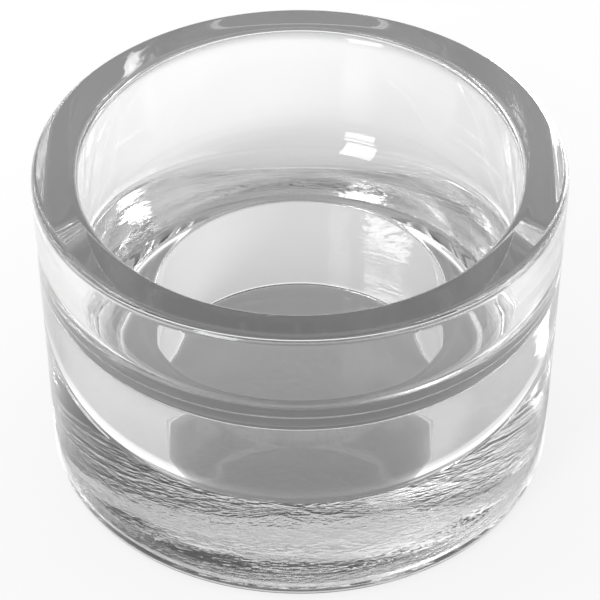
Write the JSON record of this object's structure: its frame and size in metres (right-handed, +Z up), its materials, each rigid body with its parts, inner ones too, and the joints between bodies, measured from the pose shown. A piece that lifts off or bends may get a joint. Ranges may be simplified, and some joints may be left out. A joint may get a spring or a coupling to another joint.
{
  "type": "glass votive holder",
  "caption": "Heavy clear pressed-glass cup that holds a tea light or votive candle in a round recess at the foot of its wide bore.",
  "frame": {"origin": "centre of the underside, on the surface that the holder stands on", "axes": "+Z up along the axis of revolution; X and Y are any two square directions, since the part is round"},
  "size_m": [0.072, 0.072, 0.0473],
  "materials": {
    "clear_glass": "clear pressed glass, polished outside and in the bore, wavy chill marks on the underside"
  },
  "bodies": {
    "root": {"glass_body": "clear_glass"}
  },
  "joints": []
}
